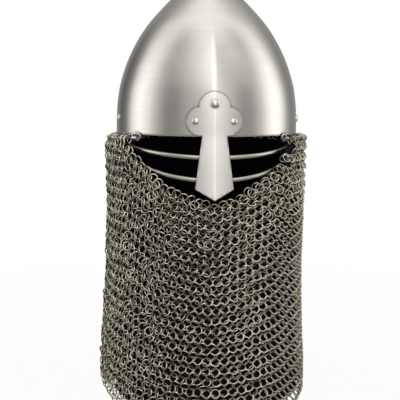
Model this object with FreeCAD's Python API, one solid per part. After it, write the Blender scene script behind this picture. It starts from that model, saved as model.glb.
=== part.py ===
"""Nasal helmet: pointed steel skull, trefoil nasal, eye guard, mail aventail on vervelles.

Millimetres. The origin is the centre of the rim plane, +Z is up and the nasal faces -Y,
so the wearer's left is +X. Each solid is one piece of the helmet as it lies on a bench.
"""
import FreeCAD
import Part
import math
import os

V = FreeCAD.Vector

# Skull
skull_half_width = 103.0
skull_half_length = 120.0
skull_height = 193.0
skull_wall = 2.0
# Height shares with the width share of the wall there, from the rim to the point
skull_profile_shares = [
    (0.0, 1.0), (0.07, 0.9993), (0.14, 0.9957), (0.25, 0.972), (0.375, 0.911), (0.5, 0.812),
    (0.62, 0.676), (0.74, 0.483), (0.86, 0.255), (0.95, 0.094), (1.0, 0.012)]

# Nasal with its trefoil head
nasal_thickness = 3.0
nasal_seat_gap = 0.3
nasal_flare = 6.5
nasal_flare_shares = (1.2, 0.6)
nasal_drop = 68.0
nasal_corner_drop = 56.0
nasal_corner_half_width = 20.8
nasal_neck_half_width = 13.4
nasal_top_lobe_radius = 17.0
nasal_top_lobe_height = 31.0
nasal_side_lobe_radius = 15.5
nasal_side_lobe_height = 16.4
nasal_side_lobe_reach = 14.8

# Domed rivets
rivet_head_radius = 5.0
rivet_head_rise = 2.6
rivet_shank_radius = 2.0
rivet_burr_radius = 3.4
rivet_burr_rise = 1.0
rivet_hole_clearance = 0.05
rivet_seat_gap = 0.1
nasal_rivet_top_height = 35.2
nasal_rivet_side_height = 16.3
nasal_rivet_side_reach = 20.9
side_rivet_height = 17.2
side_rivet_turn = 10.0
chin_rivet_height = 18.0
chin_rivet_turn = -11.5
rear_rivet_height = 22.0

# Eye guard: two round bars on a flat strut at each temple
bar_radius = 2.5
bar_front_half_angle = 46.3
bar_weld_gap = 0.05
bar_lap_share = 0.8
bar_upper_drop = 22.4
bar_upper_setback = 3.4
bar_upper_rise = 11.0
bar_lower_drop = 46.9
bar_lower_setback = 1.4
bar_lower_rise = 24.0
strut_thickness = 2.5
strut_half_width = 7.0
strut_top = 26.0
strut_bottom_drop = 32.0
strut_corner_radius = 2.3

# Vervelles and the wire that runs through them
wire_radius = 1.0
vervelle_count = 17
vervelle_first_turn = 54.0
vervelle_length = 8.0
vervelle_radius = 2.9
vervelle_bore_clearance = 0.25
vervelle_drop = 3.8
vervelle_tongue_thickness = 0.8
vervelle_tongue_height = 13.0
wire_back_lead = 9.0
wire_end_reach = 3.5
wire_hook_radius = 2.6
wire_hook_leg = 9.0

# Mail aventail and the cloth behind it
mail_thickness = 4.0
mail_hem_drop = 283.0
mail_front_droop = 40.0
mail_fold_count = 16
mail_row_pair_pitch = 13.6
mail_row_relief = 1.6
mail_eye_wall = 0.65
mail_lug_reach = 9.2
mail_lug_fall = 3.0
mail_lug_half_thickness = 1.4
mail_lug_gap = 1.5
mail_skirt_overrun = 45.0
# Drop below the rim, how far it stands out past the rim at the sides, in front and behind, and
# the depth of the folds
mail_levels = [
    (0.0, 7.4, 4.0, 7.4, 0.0),
    (12.0, 11.0, 5.0, 10.0, 0.4),
    (75.0, 10.3, 1.0, 8.0, 1.0),
    (140.0, 9.5, 0.0, 6.0, 1.5),
    (215.0, 11.8, 2.0, 6.0, 2.0),
    (272.0, 15.0, 4.5, 8.0, 2.5),
    (328.0, 15.0, 5.0, 8.0, 2.5)]
face_opening_drop = 71.0
face_opening_depth = 80.0
face_opening_half_width = 89.0
# Half-width shares with depth shares of the face opening, from the middle outwards
face_opening_shares = [
    (0.0, 1.0), (0.28, 0.86), (0.5, 0.75), (0.68, 0.63), (0.82, 0.5), (0.93, 0.28), (1.0, 0.08)]
lining_gap = 0.4
lining_thickness = 1.4
lining_top_drop = 9.0
lining_hem_rise = 8.0
lining_face_inset = 3.0

# Leather harness inside the skull
leather_thickness = 2.0
leather_gap = 0.15
wall_gap = 0.5
headband_bottom = 9.0
headband_top = 35.0
crown_strap_half_width = 12.0
crown_strap_bottom = 16.0
crown_strap_straight = 45.0
crown_strap_headroom = 76.0
crown_rivet_radius = 4.0
crown_rivet_rise = 1.2
harness_rivet_height = 28.5
harness_rivet_radius = 3.2
harness_rivet_rise = 1.0

# Chin strap in two halves, with a single-prong buckle
chin_strap_half_width = 8.0
chin_strap_thickness = 2.2
chin_strap_gap = 0.9
buckle_strap_drop = 92.0
tail_strap_drop = 150.0
tail_hole_radius = 1.6
tail_hole_count = 6
tail_hole_pitch = 13.0
buckle_wire_radius = 1.3
buckle_half_width = 12.0
buckle_length = 20.0
buckle_fold_radius = 2.9
buckle_clearance = 0.2
prong_radius = 0.9
prong_ring_radius = 2.8
prong_slot_half_width = 1.6
prong_slot_height = 7.0
keeper_drop = 60.0
keeper_height = 7.0
keeper_thickness = 1.4

overrun = 5.0


def lerp(a, b, t):
    return a + (b - a) * t


def ridge_section(half_width, half_length, z):
    """Two arcs that meet in a soft ridge at the front and the back."""
    front, back = V(0, -half_length, z), V(0, half_length, z)
    right = Part.Arc(front, V(half_width, 0, z), back).toShape()
    left = Part.Arc(back, V(-half_width, 0, z), front).toShape()
    return Part.Wire([right, left])


def plan_arc(half_width, half_length):
    """Radius of the side arcs of a section, and how far their centres lie past the middle."""
    radius = (half_width ** 2 + half_length ** 2) / (2 * half_width)
    return radius, radius - half_width


rim_radius, rim_offset = plan_arc(skull_half_width, skull_half_length)


def side_place(side, turn, z=0.0, offset=0.0):
    """Placement on the rim's outer wall: local X outwards, local Z up. turn runs from the
    temple (0) to the front, and is negative behind the temple. side is 1 or -1."""
    angle = math.radians(turn)
    reach = rim_radius + offset
    x = reach * math.cos(angle) - rim_offset
    y = -reach * math.sin(angle)
    heading = -turn if side > 0 else 180 + turn
    return FreeCAD.Placement(V(side * x, y, z), FreeCAD.Rotation(V(0, 0, 1), heading))


def wall_loft(grow, taller):
    """The skull's outline, grown sideways and made taller."""
    width, length = skull_half_width + grow, skull_half_length + grow
    wires = []
    for height_share, width_share in skull_profile_shares:
        wires.append(ridge_section(width * width_share, length * width_share,
                                   (skull_height + taller) * height_share))
    return Part.makeLoft(wires, True, False)


def ridge_face(shape, z, side):
    """How far the shape reaches along the front (-1) or back (1) ridge at a height."""
    ray = Part.makeLine(V(0, 0, z), V(0, side * 2 * skull_half_length, z))
    return max(abs(v.Y) for v in shape.common(ray).Vertexes)


def make_skull():
    inner = wall_loft(-skull_wall, -skull_wall * math.sqrt(2))
    mouth = ridge_section(skull_half_width - skull_wall, skull_half_length - skull_wall, -overrun)
    mouth_prism = Part.Face(mouth).extrude(V(0, 0, overrun))
    return wall_loft(0.0, 0.0).cut(inner).cut(mouth_prism)


def ridge_band(offset_out, offset_in, z_low, z_high):
    """An upright band that follows the rim between two offsets from its outer wall."""
    height = V(0, 0, z_high - z_low)
    sizes = [(skull_half_width + o, skull_half_length + o) for o in (offset_out, offset_in)]
    solids = [Part.Face(ridge_section(w, l, z_low)).extrude(height) for w, l in sizes]
    return solids[0].cut(solids[1])


def extrude_outline(edges, start_y, length):
    face = Part.Face(Part.Wire(Part.__sortEdges__(edges)))
    face.translate(V(0, start_y, 0))
    return face.extrude(V(0, length, 0))


def circle_meet(centre, radius, x):
    """The lower point of a circle in the XZ plane at the given x."""
    return centre[1] - math.sqrt(radius ** 2 - (x - centre[0]) ** 2)


def lobes_meet():
    """Where the top lobe and a side lobe cross, on the outer side."""
    x1, z1, r1 = 0.0, nasal_top_lobe_height, nasal_top_lobe_radius
    x2, z2, r2 = nasal_side_lobe_reach, nasal_side_lobe_height, nasal_side_lobe_radius
    gap = math.hypot(x2 - x1, z2 - z1)
    along = (gap ** 2 + r1 ** 2 - r2 ** 2) / (2 * gap)
    across = math.sqrt(r1 ** 2 - along ** 2)
    ux, uz = (x2 - x1) / gap, (z2 - z1) / gap
    return x1 + ux * along - uz * across, z1 + uz * along + ux * across


def nasal_outline():
    """Trefoil head, narrow neck, bar that widens to two corners, and a pointed end."""
    meet_x, meet_z = lobes_meet()
    lobe = (nasal_side_lobe_reach, nasal_side_lobe_height)
    neck_z = circle_meet(lobe, nasal_side_lobe_radius, nasal_neck_half_width)
    top = nasal_top_lobe_height + nasal_top_lobe_radius
    edges = [Part.Arc(V(-meet_x, 0, meet_z), V(0, 0, top), V(meet_x, 0, meet_z)).toShape()]
    outer_x = nasal_side_lobe_reach + nasal_side_lobe_radius
    for side in (1, -1):
        edges.append(Part.Arc(V(side * meet_x, 0, meet_z),
                              V(side * outer_x, 0, nasal_side_lobe_height),
                              V(side * nasal_neck_half_width, 0, neck_z)).toShape())
        corner = V(side * nasal_corner_half_width, 0, -nasal_corner_drop)
        edges.append(Part.LineSegment(V(side * nasal_neck_half_width, 0, neck_z), corner).toShape())
        edges.append(Part.LineSegment(corner, V(0, 0, -nasal_drop)).toShape())
    return edges


def keel_loft(grow):
    """Solid whose front follows the skull above the rim and flares forwards below it."""
    wires = []
    for drop_share in nasal_flare_shares:
        flare = nasal_flare * drop_share
        wires.append(ridge_section(skull_half_width + grow, skull_half_length + flare + grow,
                                   -nasal_drop * drop_share))
    for height_share, width_share in skull_profile_shares[:5]:
        wires.append(ridge_section(skull_half_width * width_share + grow,
                                   skull_half_length * width_share + grow,
                                   skull_height * height_share))
    return Part.makeLoft(wires, True, False)


def make_nasal():
    plate = keel_loft(nasal_seat_gap + nasal_thickness).cut(keel_loft(nasal_seat_gap))
    reach = skull_half_length + nasal_flare + nasal_thickness + overrun
    return plate.common(extrude_outline(nasal_outline(), -reach, reach))


def ridge_place(end, reach, z):
    """Placement on the front (-1) or back (1) ridge: local X outwards, local Z up."""
    return FreeCAD.Placement(V(0, end * reach, z), FreeCAD.Rotation(V(0, 0, 1), end * 90))


def rivet(head_radius, rise, grip):
    """Domed rivet along local X: the head seats at x = 0, and the burr closes the grip."""
    burr = -grip - rivet_burr_rise
    # The dome is an arc of a sphere through the crown and the head's rim
    sphere = (head_radius ** 2 + rise ** 2) / (2 * rise)
    half = math.asin(head_radius / sphere) / 2
    middle = V(rise - sphere * (1 - math.cos(half)), 0, sphere * math.sin(half))
    dome = Part.Arc(V(rise, 0, 0), middle, V(0, 0, head_radius)).toShape()
    points = [V(0, 0, head_radius), V(0, 0, rivet_shank_radius), V(-grip, 0, rivet_shank_radius),
              V(-grip, 0, rivet_burr_radius), V(burr, 0, rivet_burr_radius), V(burr, 0, 0),
              V(rise, 0, 0)]
    edges = [dome] + [Part.LineSegment(a, b).toShape() for a, b in zip(points, points[1:])]
    return Part.Face(Part.Wire(edges)).revolve(V(0, 0, 0), V(1, 0, 0), 360)


def rivet_hole(reach):
    radius = rivet_shank_radius + rivet_hole_clearance
    return Part.makeCylinder(radius, 2 * reach, V(-reach, 0, 0), V(1, 0, 0))


def placed(shape, placement):
    copy = shape.copy()
    copy.Placement = placement.multiply(copy.Placement)
    return copy


def nasal_rivet_places(nasal):
    """Places of the three nasal rivets, on the nasal's face."""
    stand = nasal_seat_gap + nasal_thickness + rivet_seat_gap
    turn = math.degrees(math.acos((nasal_rivet_side_reach + rim_offset) / rim_radius))
    spread = rivet_head_radius / 2
    low = ridge_face(nasal, nasal_rivet_top_height - spread, -1)
    high = ridge_face(nasal, nasal_rivet_top_height + spread, -1)
    slope = math.degrees(math.atan2(low - high, 2 * spread))
    seat = max((low + high) / 2, ridge_face(nasal, nasal_rivet_top_height, -1)) + rivet_seat_gap
    turned = FreeCAD.Rotation(V(0, 0, 1), -90).multiply(FreeCAD.Rotation(V(0, 1, 0), -slope))
    return {"nasal_rivet_top": FreeCAD.Placement(V(0, -seat, nasal_rivet_top_height), turned),
            "nasal_rivet_left": side_place(1, turn, nasal_rivet_side_height, stand),
            "nasal_rivet_right": side_place(-1, turn, nasal_rivet_side_height, stand)}


def strut_offsets():
    outer = -skull_wall - wall_gap
    return outer, outer - strut_thickness


def headband_offsets():
    outer = strut_offsets()[1] - leather_gap
    return outer, outer - leather_thickness


def make_strut(side):
    """Flat strut that follows the inside of the skull at the temple."""
    outer, inner = strut_offsets()
    band = ridge_band(outer, inner, -strut_bottom_drop, strut_top)
    reach = skull_half_width
    box = Part.makeBox(reach, 2 * strut_half_width, strut_top + strut_bottom_drop,
                       V(-reach / 2, -strut_half_width, -strut_bottom_drop))
    strut = band.common(placed(box, side_place(side, side_rivet_turn)))
    corners = [e for e in strut.Edges if e.Length < strut_half_width
               and abs(e.CenterOfMass.z + strut_bottom_drop) < strut_corner_radius / 2]
    return strut.makeFillet(strut_corner_radius, corners)


def heading(turn):
    angle = math.radians(turn)
    return V(math.cos(angle), math.sin(angle), 0)


def bent_rod(arcs, radius):
    """Round rod in level arcs, each given by its centre, bend radius and two headings."""
    rod = None
    for x, y, bend, start, end in arcs:
        centre = V(x, y, 0)
        along = heading(start + 90)
        circle = Part.Circle(centre + heading(start) * bend, along, radius)
        disc = Part.Face(Part.Wire([circle.toShape()]))
        length = disc.revolve(centre, V(0, 0, 1), end - start)
        rod = length if rod is None else rod.fuse(length)
    return rod.removeSplitter()


def make_bar(setback, drop, rise):
    """Round bar bent from strut to strut behind the nasal, in one tilted plane: a front arc
    between two flatter side arcs that lie along the struts."""
    front = skull_half_length - setback
    seat = side_place(1, side_rivet_turn, 0.0, strut_offsets()[1] - bar_radius - bar_weld_gap).Base
    turn = math.radians(side_rivet_turn)
    run = math.hypot(front + seat.y, rise)
    # Both radii follow from the seat, the heading there, the middle and where the arcs meet
    meet = math.radians(bar_front_half_angle)
    front_x, side_x = math.sin(meet), math.cos(turn) - math.sin(meet)
    front_y, side_y = 1 - math.cos(meet), math.cos(meet) - math.sin(turn)
    whole = front_x * side_y - side_x * front_y
    bend = (seat.x * side_y - side_x * run) / whole
    side_bend = (front_x * run - front_y * seat.x) / whole
    middle_y = bend - front
    centre_x = (bend - side_bend) * math.sin(meet)
    centre_y = middle_y - (bend - side_bend) * math.cos(meet)
    join = bar_front_half_angle - 90
    past = math.degrees(strut_half_width * bar_lap_share / side_bend) - side_rivet_turn
    bar = bent_rod([(centre_x, centre_y, side_bend, join, past),
                    (0.0, middle_y, bend, -180 - join, join),
                    (-centre_x, centre_y, side_bend, 180 - past, 180 - join)], bar_radius)
    bar.rotate(V(0, -front, 0), V(1, 0, 0), math.degrees(math.atan2(rise, front + seat.y)))
    bar.translate(V(0, 0, -drop))
    return bar


def wire_offset():
    """The wire runs under the skull's wall, where the rolled tongues carry it."""
    return vervelle_radius - skull_wall - wall_gap - vervelle_tongue_thickness


def vervelle_places():
    """Vervelles at even turns from temple to temple round the back."""
    last = (vervelle_count - 1) // 2
    places = []
    for index in range(vervelle_count):
        side = 1 if index < last else -1
        step = abs(index - last)
        if step == 0:
            centre, bend, _ = wire_back_bend()
            places.append(ridge_place(1, centre + bend, -vervelle_drop))
        else:
            places.append(side_place(side, vervelle_turn(step), -vervelle_drop, wire_offset()))
    return places


def vervelle_turn(step):
    """Turn on the side arc of the vervelle that is so many steps from the back."""
    back_turn = math.degrees(math.asin(rim_offset / rim_radius)) - 90
    return lerp(back_turn, first_vervelle_turn(), 2 * step / (vervelle_count - 1))


def first_vervelle_turn():
    """Turn on the side arc of the first vervelle, from its place round the rim."""
    x = skull_half_width * math.sin(math.radians(vervelle_first_turn))
    return math.degrees(math.acos((x + rim_offset) / rim_radius))


def wire_back_bend():
    """Centre, radius and turn of the arc that joins the wire's side arcs behind: it starts a
    little past the last vervelle of each side."""
    radius = rim_radius + wire_offset()
    lead = math.degrees((vervelle_length / 2 + wire_back_lead) / radius)
    join = lead - vervelle_turn(1)
    bend = radius - rim_offset / math.cos(math.radians(join))
    return (radius - bend) * math.sin(math.radians(join)), bend, join


def make_vervelle():
    """Sheet tongue that lies inside the wall, with its end rolled outwards round the wire."""
    half = vervelle_length / 2
    bore = wire_radius + vervelle_bore_clearance
    tube = Part.makeCylinder(vervelle_radius, vervelle_length, V(0, -half, 0), V(0, 1, 0))
    tongue = Part.makeBox(vervelle_tongue_thickness, vervelle_length,
                          vervelle_drop + vervelle_tongue_height, V(-vervelle_radius, -half, 0))
    hole = Part.makeCylinder(bore, vervelle_length, V(0, -half, 0), V(0, 1, 0))
    return tube.fuse(tongue).cut(hole).removeSplitter()


def make_wire():
    """One wire from temple to temple round the back, each end hooked up over the rim."""
    radius = rim_radius + wire_offset()
    centre, bend, join = wire_back_bend()
    turn = first_vervelle_turn() + math.degrees((vervelle_length / 2 + wire_end_reach) / radius)
    wire = bent_rod([(-rim_offset, 0.0, radius, -turn, join),
                     (0.0, centre, bend, join, 180 - join),
                     (rim_offset, 0.0, radius, 180 - join, 180 + turn)], wire_radius)
    wire.translate(V(0, 0, -vervelle_drop))
    for side in (1, -1):
        hook = placed(wire_hook(side), side_place(side, turn, -vervelle_drop, wire_offset()))
        wire = wire.fuse(hook)
    return wire.removeSplitter()


def wire_hook(side):
    """Half turn that brings the wire's end up outside the rim, and its short return leg."""
    disc = Part.Face(Part.Wire([Part.Circle(V(0, 0, 0), V(0, 1, 0), wire_radius).toShape()]))
    bend = disc.revolve(V(0, 0, wire_hook_radius), V(1, 0, 0), -side * 180)
    leg = Part.makeCylinder(wire_radius, wire_hook_leg, V(0, 0, 2 * wire_hook_radius),
                            V(0, side, 0))
    hook = bend.fuse(leg)
    hook.rotate(V(0, 0, 0), V(0, 1, 0), hook_lean())
    return hook


def hook_lean():
    """Outward lean of the hook, so that its return leg clears the wall."""
    need = wire_radius + wall_gap - wire_offset()
    return math.degrees(math.asin(need / (2 * wire_hook_radius)))


def curtain_wire(level, shrink, droop_share):
    """Closed section of the hanging mail: one shallow arc for each fold. It is level behind and
    falls towards the front with the row that it follows."""
    drop, side_stand, front_stand, back_stand, depth = level
    droop = droop_share * mail_front_droop * drop / mail_hem_drop
    width = skull_half_width + side_stand - shrink
    front = skull_half_length + front_stand - shrink
    back = skull_half_length + back_stand - shrink

    def point(angle, inset):
        cosine = math.cos(angle)
        length = front if cosine > 0 else back
        return V((width - inset) * math.sin(angle), -(length - inset) * cosine,
                 -drop - droop * max(0.0, cosine))

    step = 2 * math.pi / mail_fold_count
    edges = []
    for fold in range(mail_fold_count):
        start = step * (fold - 0.5)
        arc = Part.Arc(point(start, depth), point(start + step / 2, 0), point(start + step, depth))
        edges.append(arc.toShape())
    return Part.Wire(edges)


def curtain_level(drop):
    """The stands and the fold depth at a drop, between the levels that are given."""
    pairs = list(zip(mail_levels, mail_levels[1:]))
    upper, lower = next((a, b) for a, b in pairs if drop <= b[0])
    share = (drop - upper[0]) / (lower[0] - upper[0])
    return tuple(lerp(a, b, share) for a, b in zip(upper, lower))


def curtain_loft(shrink, drops, relief):
    """Solid of the hanging sheet's outline. The first and the last section are flat, and every
    other section after the top border goes in by the relief."""
    wires = []
    for index, drop in enumerate(drops):
        flat = index in (0, len(drops) - 1)
        groove = relief if index % 2 and drop > mail_levels[1][0] and not flat else 0.0
        wires.append(curtain_wire(curtain_level(drop), shrink + groove, 0.0 if flat else 1.0))
    return Part.makeLoft(wires, True, True)


def curtain(shrink, thickness, top_drop, hem_rise, face_inset, relief):
    """Hanging sheet round the neck, open at the face, its hem lower in front. With a relief its
    outside has a rib for each pair of ring rows, which lean apart."""
    plain = [top_drop] + [level[0] for level in mail_levels[1:]]
    drops = plain
    if relief:
        half = mail_row_pair_pitch / 2
        steps = int((mail_hem_drop - half / 2 - top_drop) / half)
        drops = [top_drop + half * step for step in range(steps + 1)] + plain[-1:]
    outer = curtain_loft(shrink, drops, relief)
    inner = curtain_loft(shrink + thickness, plain, 0.0)
    sheet = outer.cut(inner)
    sheet = sheet.cut(hem_cutter(hem_rise))
    return sheet.cut(face_cutter(face_inset))


def hem_cutter(rise):
    """Everything below the hem: level behind, falling towards the front."""
    low = -mail_hem_drop + rise
    reach = 2 * skull_half_length
    fall = mail_front_droop * reach / skull_half_length
    bottom = -mail_hem_drop - 3 * mail_skirt_overrun
    points = [V(-reach, reach, low), V(-reach, 0, low), V(-reach, -reach, low - fall),
              V(-reach, -reach, bottom), V(-reach, reach, bottom), V(-reach, reach, low)]
    return Part.Face(Part.makePolygon(points)).extrude(V(2 * reach, 0, 0))


def face_cutter(inset):
    """The face opening: a deep curve between the two front vervelles."""
    width = face_opening_half_width + inset
    curve = []
    for width_share, depth_share in face_opening_shares:
        curve.append(V(width * width_share, 0, -(face_opening_drop + inset) * depth_share))
    points = [V(-p.x, 0, p.z) for p in reversed(curve[1:])] + curve
    lower = Part.BSplineCurve()
    lower.interpolate(points)
    top = skull_wall + overrun
    last = points[-1]
    corners = [last, V(last.x, 0, top), V(-last.x, 0, top), points[0]]
    edges = [lower.toShape()] + [Part.LineSegment(a, b).toShape()
                                 for a, b in zip(corners, corners[1:])]
    far = 2 * skull_half_length
    face = Part.Face(Part.Wire(edges))
    face.translate(V(0, -far, 0))
    return face.extrude(V(0, far - skull_half_length + face_opening_depth, 0))


def mail_lug(side, start, end):
    """A length of the mail's top row: it hangs on the wire and lies out to the sheet."""
    reach = rim_radius + wire_offset()
    bore = wire_radius + vervelle_bore_clearance
    along_y = V(0, 1, 0)
    middle = V(reach, 0, -vervelle_drop)
    eye = Part.Face(Part.Wire([Part.Circle(middle, along_y, bore + mail_eye_wall).toShape()]))
    hole = Part.Face(Part.Wire([Part.Circle(middle, along_y, bore).toShape()]))
    half = V(0, 0, mail_lug_half_thickness)
    tip = middle + V(mail_lug_reach, 0, -mail_lug_fall)
    arm = Part.Face(Part.makePolygon([middle + half, tip + half, tip - half, middle - half,
                                      middle + half]))
    profile = eye.fuse(arm).removeSplitter().cut(hole)
    lug = profile.revolve(V(0, 0, 0), V(0, 0, 1), end - start)
    lug.rotate(V(0, 0, 0), V(0, 0, 1), -end)
    lug.translate(V(-rim_offset, 0, 0))
    return lug if side > 0 else lug.mirror(V(0, 0, 0), V(1, 0, 0))


def mail_top_row():
    """The lengths of the top row between the vervelles of one side and the other."""
    radius = rim_radius + wire_offset()
    clear = math.degrees((vervelle_length / 2 + mail_lug_gap) / radius)
    bend_end = -wire_back_bend()[2]
    lugs = []
    for side in (1, -1):
        for step in range((vervelle_count - 1) // 2):
            low = max(vervelle_turn(step) + clear, bend_end)
            lugs.append(mail_lug(side, low, vervelle_turn(step + 1) - clear))
    return lugs


def make_mail():
    sheet = curtain(0.0, mail_thickness, 0.0, 0.0, 0.0, mail_row_relief)
    return sheet.fuse(mail_top_row()).removeSplitter()


def make_lining():
    return curtain(mail_thickness + lining_gap, lining_thickness, lining_top_drop,
                   lining_hem_rise, lining_face_inset, 0.0)


def make_headband():
    outer, inner = headband_offsets()
    return ridge_band(outer, inner, headband_bottom, headband_top)


def crown_strap(reach, crest):
    """Strap bent over the head: two upright ends and one elliptical arch."""
    edges = []
    feet = []
    for grow in (0.0, -leather_thickness):
        width, rise = reach + grow, crest + grow - crown_strap_straight
        centre = V(0, 0, crown_strap_straight)
        foot, knee = V(width, 0, crown_strap_bottom), V(width, 0, crown_strap_straight)
        far_foot, far_knee = V(-width, 0, crown_strap_bottom), V(-width, 0, crown_strap_straight)
        if width > rise:
            ellipse = Part.Ellipse(knee, V(0, 0, crown_strap_straight + rise), centre)
        else:
            ellipse = Part.Ellipse(V(0, 0, crown_strap_straight + rise), far_knee, centre)
        ends = sorted(ellipse.parameter(p) for p in (knee, far_knee))
        arc = Part.ArcOfEllipse(ellipse, ends[0], ends[1])
        if arc.value((ends[0] + ends[1]) / 2).z < crown_strap_straight:
            arc = Part.ArcOfEllipse(ellipse, ends[1], ends[0] + 2 * math.pi)
        edges.append(Part.LineSegment(foot, knee).toShape())
        edges.append(arc.toShape())
        edges.append(Part.LineSegment(far_knee, far_foot).toShape())
        feet.append((foot, far_foot))
    edges.append(Part.LineSegment(feet[0][0], feet[1][0]).toShape())
    edges.append(Part.LineSegment(feet[0][1], feet[1][1]).toShape())
    return extrude_outline(edges, -crown_strap_half_width, 2 * crown_strap_half_width)


def cross_strap_reach():
    return skull_half_width + headband_offsets()[1] - strap_sag(crown_strap_half_width)


def long_strap_reach():
    """The strap is flat across, so it stands off the band's ridge by the slope of one half."""
    slope = rim_offset / rim_radius
    return skull_half_length + headband_offsets()[1] - crown_strap_half_width * slope - strap_sag(
        crown_strap_half_width)


def strap_sag(half_width):
    return half_width ** 2 / (2 * rim_radius) + 2 * leather_gap


def strap_crest():
    """Top of the strap that runs from side to side."""
    return skull_height - crown_strap_headroom


def crest_sag():
    """How far a flat strap stands off the other one's arch where they cross."""
    arch_radius = cross_strap_reach() ** 2 / (strap_crest() - crown_strap_straight)
    return crown_strap_half_width ** 2 / (2 * arch_radius) + leather_gap


def long_strap_crest():
    return strap_crest() + leather_thickness + leather_gap + crest_sag()


def make_cross_strap():
    return crown_strap(cross_strap_reach(), strap_crest())


def make_long_strap():
    strap = crown_strap(long_strap_reach(), long_strap_crest())
    strap.rotate(V(0, 0, 0), V(0, 0, 1), 90)
    return strap


def make_crown_rivet():
    """Small rivet through both straps where they cross."""
    grip = 2 * (leather_thickness + leather_gap) + leather_gap + crest_sag()
    body = rivet(crown_rivet_radius, crown_rivet_rise, grip)
    body.rotate(V(0, 0, 0), V(0, 1, 0), -90)
    body.translate(V(0, 0, long_strap_crest() + leather_gap))
    return body


def harness_rivet_places():
    """Where the four strap ends are riveted to the headband, from the band's outer side."""
    outer = headband_offsets()[0]
    reach = skull_half_length + outer
    places = [side_place(side, 0.0, harness_rivet_height, outer) for side in (1, -1)]
    return places + [ridge_place(end, reach, harness_rivet_height) for end in (1, -1)]


def make_harness_rivets():
    """Four small rivets, one through each end of the crown straps."""
    solids = []
    for index, place in enumerate(harness_rivet_places()):
        slope = 0.0 if index < 2 else crown_strap_half_width * rim_offset / rim_radius
        grip = 2 * leather_thickness + strap_sag(crown_strap_half_width) + slope + leather_gap
        solids.append(placed(rivet(harness_rivet_radius, harness_rivet_rise, grip), place))
    return Part.makeCompound(solids)


def chin_offsets():
    """Plane of the chin straps, inside the headband."""
    outer = headband_offsets()[1] - chin_strap_gap
    return outer, outer - chin_strap_thickness


def chin_middle():
    return sum(chin_offsets()) / 2


def chin_strap_plate(drop):
    """Strap that hangs from its rivet, round at the top, in local axes at the rivet."""
    outer, inner = chin_offsets()
    width = chin_strap_half_width
    plate = Part.makeBox(outer - inner, 2 * width, drop, V(inner, -width, -drop))
    round_top = Part.makeCylinder(width, outer - inner, V(inner, 0, 0), V(1, 0, 0))
    return plate.fuse(round_top)


def make_buckle_strap():
    """Short half: its end is folded round the buckle's bar and slotted for the prong."""
    strap = chin_strap_plate(buckle_strap_drop)
    middle = chin_middle()
    width = chin_strap_half_width
    fold = Part.makeCylinder(buckle_fold_radius, 2 * width, V(middle, -width, -buckle_strap_drop),
                             V(0, 1, 0))
    strap = strap.fuse(fold)
    bore = buckle_wire_radius + buckle_clearance
    strap = strap.cut(Part.makeCylinder(bore, 2 * width, V(middle, -width, -buckle_strap_drop),
                                        V(0, 1, 0)))
    slot = Part.makeBox(4 * buckle_fold_radius, 2 * prong_slot_half_width,
                        prong_slot_height + 2 * buckle_fold_radius,
                        V(middle - 2 * buckle_fold_radius, -prong_slot_half_width,
                          -buckle_strap_drop - 2 * buckle_fold_radius))
    return strap.cut(slot).cut(rivet_hole(-2 * chin_offsets()[1])).removeSplitter()


def make_tail_strap():
    """Long half with a pointed end and a row of holes."""
    strap = chin_strap_plate(tail_strap_drop)
    outer, inner = chin_offsets()
    width = chin_strap_half_width
    point = [V(inner, -width, -tail_strap_drop), V(inner, width, -tail_strap_drop),
             V(inner, 0, -tail_strap_drop - width), V(inner, -width, -tail_strap_drop)]
    strap = strap.fuse(Part.Face(Part.makePolygon(point)).extrude(V(outer - inner, 0, 0)))
    for index in range(tail_hole_count):
        z = -tail_strap_drop + width + index * tail_hole_pitch
        hole = Part.makeCylinder(tail_hole_radius, 2 * (outer - inner),
                                 V(inner - (outer - inner) / 2, 0, z), V(1, 0, 0))
        strap = strap.cut(hole)
    return strap.cut(rivet_hole(-2 * inner)).removeSplitter()


def make_buckle_frame():
    """Rectangular wire frame whose top bar passes through the strap's fold."""
    middle = chin_middle()
    radius, half = buckle_wire_radius, buckle_half_width
    top, low = -buckle_strap_drop, -buckle_strap_drop - buckle_length
    corners = [V(middle, -half, top), V(middle, half, top), V(middle, half, low),
               V(middle, -half, low)]
    frame = Part.makeSphere(radius, corners[0])
    for start, end in zip(corners, corners[1:] + corners[:1]):
        run = end - start
        frame = frame.fuse(Part.makeCylinder(radius, run.Length, start, run))
        frame = frame.fuse(Part.makeSphere(radius, end))
    return frame


def make_prong():
    """Ring round the buckle's bar and a straight tongue that lies on the far bar."""
    middle = chin_middle()
    top = -buckle_strap_drop
    bore = buckle_wire_radius + buckle_clearance
    width = prong_radius
    ring = Part.makeCylinder(prong_ring_radius, 2 * width, V(middle, -width, top), V(0, 1, 0))
    start = V(middle, 0, top - (bore + prong_ring_radius) / 2)
    rest = V(middle - buckle_wire_radius - width - buckle_clearance, 0, top - buckle_length)
    run = rest - start
    run.normalize()
    reach = rest + run * (2 * buckle_wire_radius) - start
    tongue = Part.makeCylinder(width, reach.Length, start, reach)
    hole = Part.makeCylinder(bore, 4 * width, V(middle, -2 * width, top), V(0, 1, 0))
    return ring.fuse(tongue).cut(hole)


def make_keeper():
    """Leather loop round the buckle strap that holds the tail down."""
    outer, inner = chin_offsets()
    gap = leather_gap
    wall = keeper_thickness
    half = chin_strap_half_width + gap
    room = 2 * chin_strap_thickness
    low = -keeper_drop - keeper_height
    body = Part.makeBox(room + 2 * wall, 2 * (half + wall), keeper_height,
                        V(outer + gap - room, -half - wall, low))
    body.translate(V(-wall, 0, 0))
    hollow = Part.makeBox(room, 2 * half, keeper_height, V(outer + gap - room, -half, low))
    return body.cut(hollow)


def chin_place(side):
    return side_place(side, chin_rivet_turn, chin_rivet_height)


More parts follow.
